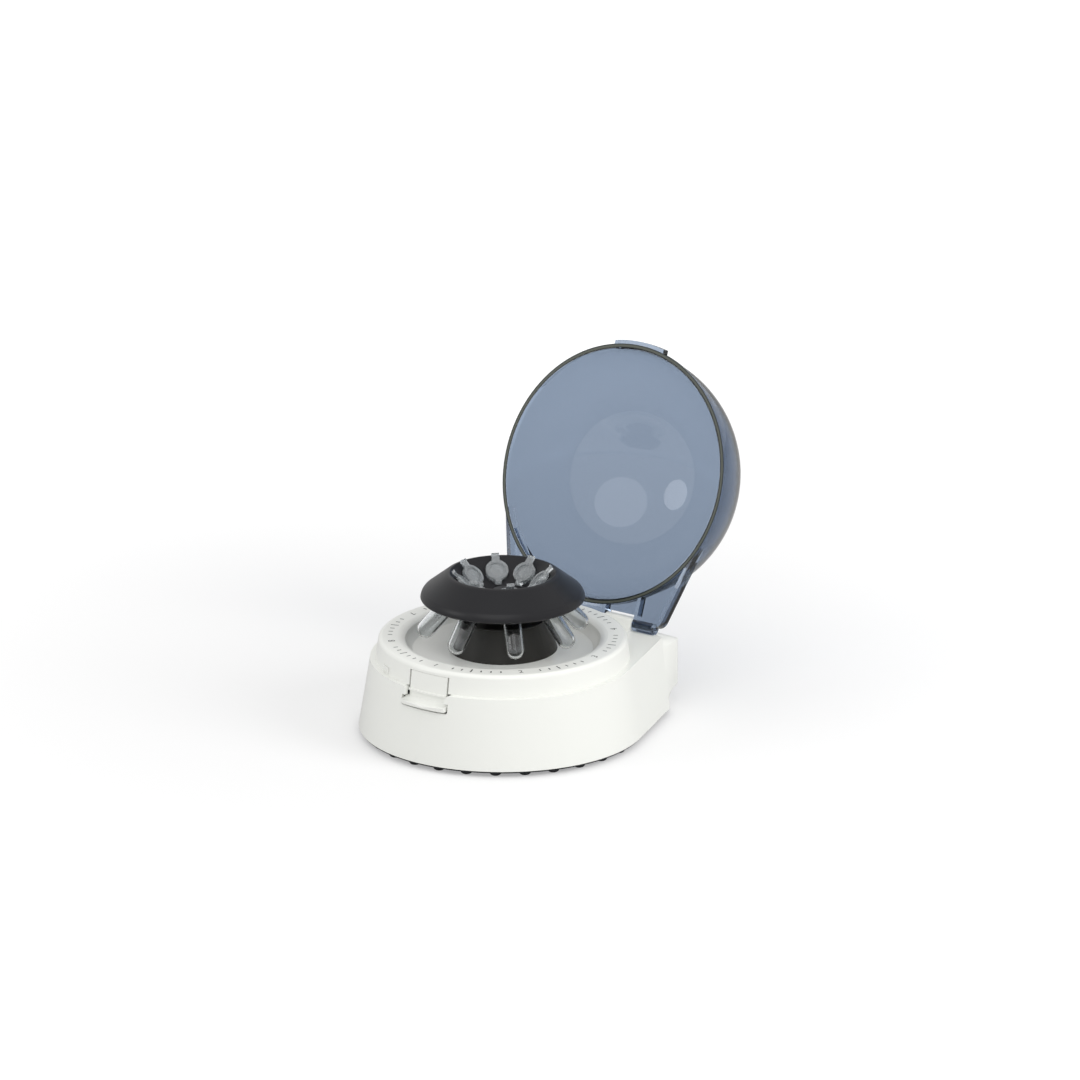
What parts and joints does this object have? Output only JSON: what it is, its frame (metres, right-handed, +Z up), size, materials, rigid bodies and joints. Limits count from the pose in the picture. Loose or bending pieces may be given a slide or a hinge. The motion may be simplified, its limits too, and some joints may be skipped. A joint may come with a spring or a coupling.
{
  "type": "laboratory centrifuge",
  "caption": "Palm sized laboratory centrifuge with a dome lid hinged open, an angled rotor of small capped tubes on a cone pedestal, a front latch and ribbed rubber feet.",
  "frame": {"origin": "the point of the floor under the rotor's axis, level with the flat bottoms of the rubber feet", "axes": "+Z up along the rotor's axis, -Y to the front with the latch, +Y to the lid's hinge, +X to the right seen from the front"},
  "size_m": [0.155, 0.2489, 0.1861],
  "materials": {
    "housing_white": "gloss moulded ABS",
    "floor_plate_black": "matt moulded plate",
    "foot_rubber": "matt rubber",
    "fastener_steel": "zinc plated",
    "pedestal_black": "satin moulded",
    "motor_steel": "plated can",
    "shaft_steel": "ground",
    "rotor_black": "satin moulded",
    "lid_smoke_blue": "clear tinted polycarbonate",
    "switch_black": "matt",
    "board_green": "solder resist",
    "tube_clear": "clear polypropylene",
    "cap_clear": "clear polypropylene"
  },
  "bodies": {
    "base": {"base_plate": "floor_plate_black", "base_screws": "fastener_steel", "board_components": "switch_black", "control_board": "board_green", "dc_jack": "switch_black", "foot_mat": "foot_rubber", "hinge_pin_left": "shaft_steel", "hinge_pin_right": "shaft_steel", "lid_switch": "switch_black", "lower_housing": "housing_white", "motor_bracket": "motor_steel", "motor_can": "motor_steel", "motor_dampers": "foot_rubber", "motor_pedestal": "pedestal_black", "motor_screws": "fastener_steel", "top_cover": "housing_white"},
    "rotor": {"rotor_body": "rotor_black", "rotor_clip": "rotor_black", "rotor_shaft": "shaft_steel", "tube_1": "tube_clear", "tube_2": "tube_clear", "tube_3": "tube_clear", "tube_4": "tube_clear", "tube_5": "tube_clear", "tube_6": "tube_clear", "tube_7": "tube_clear", "tube_8": "tube_clear", "tube_cap_1": "cap_clear", "tube_cap_2": "cap_clear", "tube_cap_3": "cap_clear", "tube_cap_4": "cap_clear", "tube_cap_5": "cap_clear", "tube_cap_6": "cap_clear", "tube_cap_7": "cap_clear", "tube_cap_8": "cap_clear"},
    "lid": {"lid": "lid_smoke_blue"},
    "latch": {"latch_tongue": "housing_white"},
    "switch_button": {"lid_switch_button": "housing_white"}
  },
  "joints": [
    {"name": "lid_hinge", "type": "hinge", "parent": "base", "child": "lid", "pos_m": [0, 0.0768, 0.0449], "axis": [1, 0, 0], "range_deg": [0, 110.9]},
    {"name": "rotor_spin", "type": "hinge", "parent": "base", "child": "rotor", "pos_m": [0, 0, 0.07], "axis": [0, 0, 1], "continuous": true},
    {"name": "latch_flex", "type": "hinge", "parent": "base", "child": "latch", "pos_m": [0, -0.0658, 0.0502], "axis": [1, 0, 0], "range_deg": [0, 4], "stiffness_Nm_per_rad": 0.5},
    {"name": "lid_switch_press", "type": "slide", "parent": "base", "child": "switch_button", "axis": [0.5, 0.866, 0], "range_m": [0, 0.0004], "stiffness_N_per_m": 400}
  ]
}
